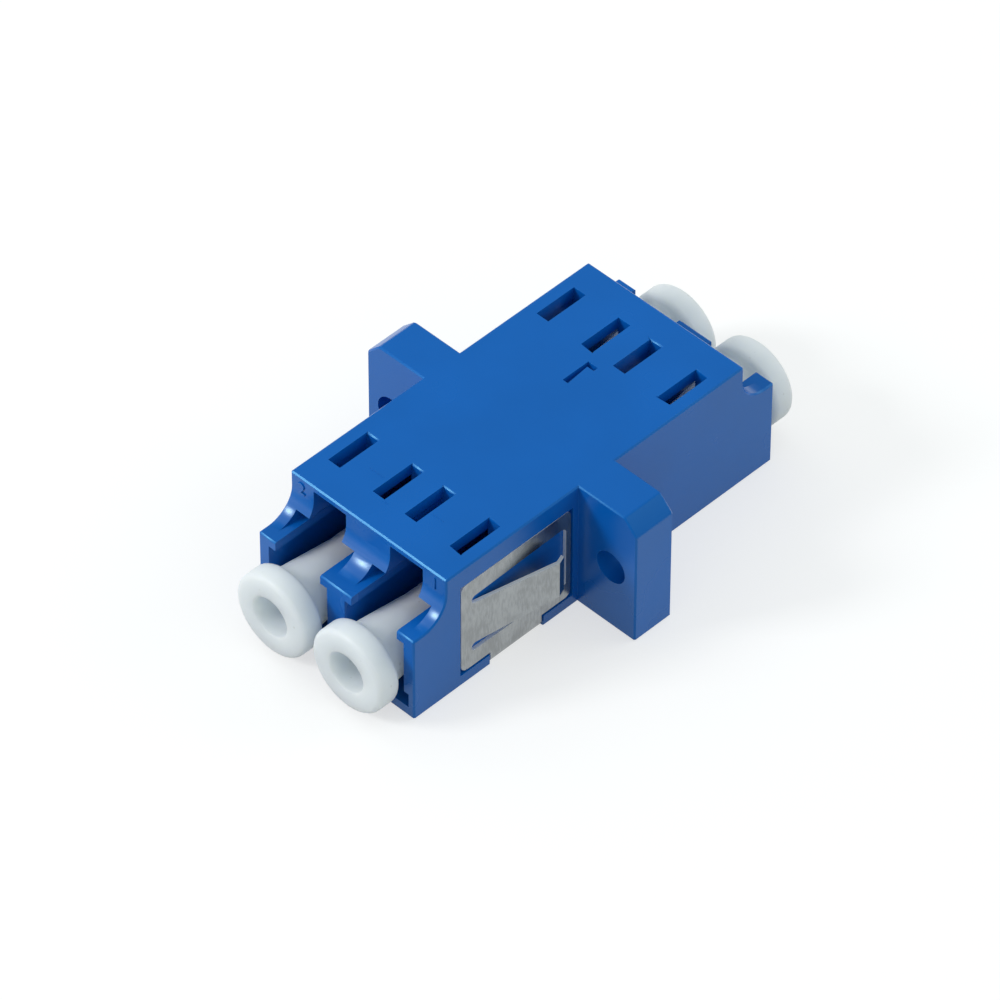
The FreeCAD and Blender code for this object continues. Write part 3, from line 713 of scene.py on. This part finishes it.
def turned_cap():
    """A dust cap along its own axis: one disc drawn out ring by ring from the hollow to the grip hole."""
    _, sizes, _ = settings()
    outline = cap_outline(sizes)
    floor_length, floor_radius = outline[0]
    bpy.ops.object.select_all(action="DESELECT")
    bpy.ops.mesh.primitive_circle_add(vertices=sizes.cap_steps, radius=floor_radius, fill_type="NGON",
                                      location=(0, -floor_length, 0), rotation=(math.pi / 2, 0, 0))
    cap = bpy.context.view_layer.objects.active
    name_piece(cap, "cap_pattern")
    place_in_mesh(cap)
    bpy.ops.object.mode_set(mode="EDIT")
    bpy.ops.mesh.select_mode(type="FACE")
    bpy.ops.mesh.select_all(action="SELECT")
    for (near_length, near_radius), (length, radius) in zip(outline, outline[1:]):
        bpy.ops.mesh.extrude_region_move(TRANSFORM_OT_translate={"value": (0, near_length - length, 0)})
        share = radius / near_radius
        bpy.ops.transform.resize(value=(share, 1, share), center_override=(0, -length, 0))
    bpy.ops.object.mode_set(mode="OBJECT")
    close_mesh(cap)
    even_shading(cap, sharp_angle=40)
    return cap


class ADAPTER_OT_numerals(Operator):
    """Model the raised port numerals and the fine lines that the mould leaves on the roof"""

    bl_idname = "adapter.numerals"
    bl_label = "Port numerals"
    bl_options = {"REGISTER", "UNDO"}

    def execute(self, context):
        _, sizes, _ = settings()
        blue = bpy.data.materials["moulded_blue"]
        for figure, across, height in NUMERALS:
            numeral = raised_numeral(figure, across * MM, height * MM, sizes)
            join_moulding(numeral, "port_numeral_" + figure, blue)
        for index, (left, right, along) in enumerate(MOULD_LINES):
            line = mould_line(left * MM, right * MM, along * MM)
            join_moulding(line, f"mould_line_{index + 1}", blue)
        return {"FINISHED"}


def join_moulding(piece, name, material):
    """A small raised form of the housing: same body and material."""
    name_piece(piece, name)
    piece.data.materials.clear()
    piece.data.materials.append(material)
    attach(piece, BODY_OF["housing"])


def raised_numeral(figure, across, height, sizes):
    """A numeral that stands out from the front end face."""
    bpy.ops.object.select_all(action="DESELECT")
    bpy.ops.object.text_add(location=(across, -END_FACE, height), rotation=(math.pi / 2, 0, 0))
    numeral = bpy.context.view_layer.objects.active
    numeral.data.body = figure
    numeral.data.align_x = "CENTER"
    numeral.data.align_y = "CENTER"
    numeral.data.size = sizes.numeral_height / FIGURE_SHARE
    numeral.data.offset = -STROKE_TRIM
    numeral.data.extrude = sizes.numeral_relief
    numeral.data.bevel_depth = NUMERAL_BEVEL
    numeral.data.bevel_resolution = 1
    bpy.ops.object.convert(target="MESH")
    numeral = bpy.context.view_layer.objects.active
    place_in_mesh(numeral)
    close_mesh(numeral)
    return numeral


def mould_line(left, right, along):
    """A hair-thin raised line across the roof."""
    middle = ((left + right) / 2, along, ROOF)
    bpy.ops.object.select_all(action="DESELECT")
    bpy.ops.mesh.primitive_cube_add(size=1, location=middle)
    line = bpy.context.view_layer.objects.active
    line.scale = (right - left, MOULD_LINE_WIDTH, MOULD_LINE_HEIGHT)
    place_in_mesh(line)
    bpy.ops.object.mode_set(mode="EDIT")
    pick_faces(line, lambda centre, normal: normal.z > 0.9)
    bpy.ops.transform.resize(value=MOULD_LINE_TOP, center_override=middle)
    bpy.ops.object.mode_set(mode="OBJECT")
    return line


class ADAPTER_OT_studio(Operator):
    """Set up the floor, the lamps, the sky and the camera"""

    bl_idname = "adapter.studio"
    bl_label = "Studio"
    bl_options = {"REGISTER", "UNDO"}

    def execute(self, context):
        _, _, studio = settings()
        lay_floor(studio)
        light_sky(studio)
        powers = (studio.key_power, studio.fill_power, studio.rear_power)
        for (name, place, size), power in zip(LAMPS, powers):
            hang_lamp(name, place, size, power)
        set_camera(studio)
        return {"FINISHED"}


def lay_floor(studio):
    """A round floor just under the adapter that shows nearly white and keeps the shadow."""
    bpy.ops.object.select_all(action="DESELECT")
    bpy.ops.mesh.primitive_circle_add(vertices=64, radius=FLOOR_RADIUS, fill_type="NGON",
                                      location=(0, 0, -FLOOR_DROP))
    floor = bpy.context.view_layer.objects.active
    name_piece(floor, "studio_floor")
    material, w, shader, _ = new_material("studio_floor")
    shader.inputs["Base Color"].default_value = colour(studio.floor_colour)
    shader.inputs["Roughness"].default_value = 0.9
    shader.inputs["Specular IOR Level"].default_value = 0.0
    output = next(node for node in material.node_tree.nodes if node.type == "OUTPUT_MATERIAL")
    path = w.node("ShaderNodeLightPath")
    seen = w.math("MAXIMUM", path.outputs["Is Camera Ray"],
                  w.math("MAXIMUM", path.outputs["Is Glossy Ray"], path.outputs["Is Transmission Ray"]))
    glow = w.node("ShaderNodeEmission")
    glow.inputs["Color"].default_value = (1, 1, 1, 1)
    w.link(w.math("MULTIPLY", seen, studio.floor_glow), glow.inputs["Strength"])
    both = w.node("ShaderNodeAddShader")
    w.link(shader.outputs["BSDF"], both.inputs[0])
    w.link(glow.outputs["Emission"], both.inputs[1])
    w.link(both.outputs["Shader"], output.inputs["Surface"])
    floor.data.materials.append(material)


def light_sky(studio):
    """An even sky, faintly cool."""
    world = bpy.data.worlds.new("studio_sky")
    bpy.context.scene.world = world
    world.use_nodes = True
    tree = world.node_tree
    tree.nodes.clear()
    w = Wiring(tree)
    output = w.node("ShaderNodeOutputWorld")
    sky = w.node("ShaderNodeBackground")
    sky.inputs["Color"].default_value = colour(SKY_TINT)
    sky.inputs["Strength"].default_value = studio.sky
    w.link(sky.outputs["Background"], output.inputs["Surface"])


def hang_lamp(name, place, size, power):
    """A square lamp that faces the adapter."""
    bpy.ops.object.select_all(action="DESELECT")
    bpy.ops.object.light_add(type="AREA", location=place)
    lamp = bpy.context.view_layer.objects.active
    lamp.name = name
    lamp.data.name = name
    lamp.data.shape = "SQUARE"
    lamp.data.size = size
    lamp.data.energy = power
    lamp.rotation_euler = Vector(place).to_track_quat("Z", "Y").to_euler()


def set_camera(studio):
    """The camera at the photograph's viewing angle."""
    sin_a, cos_a = math.sin(studio.azimuth), math.cos(studio.azimuth)
    sin_e, cos_e = math.sin(studio.elevation), math.cos(studio.elevation)
    back = Vector((sin_a * cos_e, -cos_a * cos_e, sin_e))
    level = Vector((cos_a, sin_a, 0))
    upright = back.cross(level)
    right = level * math.cos(studio.roll) - upright * math.sin(studio.roll)
    up = level * math.sin(studio.roll) + upright * math.cos(studio.roll)
    place = back * studio.distance + right * studio.aim[0] + up * studio.aim[1]
    bpy.ops.object.camera_add()
    camera = bpy.context.view_layer.objects.active
    camera.name = "studio_camera"
    turn = Matrix((right, up, back)).transposed().to_4x4()
    camera.matrix_world = Matrix.Translation(place) @ turn
    camera.data.sensor_width = 36.0
    camera.data.lens = studio.focal_length
    camera.data.clip_start = CLIP_NEAR
    camera.data.clip_end = CLIP_FAR
    bpy.context.scene.camera = camera
    bpy.context.scene.view_settings.view_transform = "Standard"


class ADAPTER_PT_looks(Panel):
    """Sidebar panel with the adapter's pieces"""

    bl_idname = "ADAPTER_PT_looks"
    bl_label = "Fibre adapter"
    bl_space_type = "VIEW_3D"
    bl_region_type = "UI"
    bl_category = "Adapter"

    def draw(self, context):
        layout = self.layout
        for group in ("adapter_colours", "adapter_sizes", "adapter_studio"):
            box = layout.box()
            owner = getattr(context.scene, group)
            for name in owner.bl_rna.properties.keys():
                if name not in ("rna_type", "name"):
                    box.prop(owner, name)
        for operator in PIECES:
            layout.operator(operator.bl_idname)


PIECES = (ADAPTER_OT_housing, ADAPTER_OT_clip, ADAPTER_OT_inner_pieces, ADAPTER_OT_dust_caps,
          ADAPTER_OT_numerals, ADAPTER_OT_studio)
GROUPS = (AdapterColours, AdapterSizes, AdapterStudio)


def register():
    """Adds the settings, the operators and the panel."""
    for kind in GROUPS + PIECES + (ADAPTER_PT_looks,):
        bpy.utils.register_class(kind)
    bpy.types.Scene.adapter_colours = PointerProperty(type=AdapterColours)
    bpy.types.Scene.adapter_sizes = PointerProperty(type=AdapterSizes)
    bpy.types.Scene.adapter_studio = PointerProperty(type=AdapterStudio)


def unregister():
    """Takes them away again, in the opposite order."""
    del bpy.types.Scene.adapter_studio
    del bpy.types.Scene.adapter_sizes
    del bpy.types.Scene.adapter_colours
    for kind in reversed(GROUPS + PIECES + (ADAPTER_PT_looks,)):
        bpy.utils.unregister_class(kind)


def main():
    """Builds every piece and the studio."""
    register()
    bpy.ops.adapter.housing()
    bpy.ops.adapter.clip()
    bpy.ops.adapter.inner_pieces()
    bpy.ops.adapter.dust_caps()
    bpy.ops.adapter.numerals()
    bpy.ops.adapter.studio()


if __name__ == "__main__":
    main()
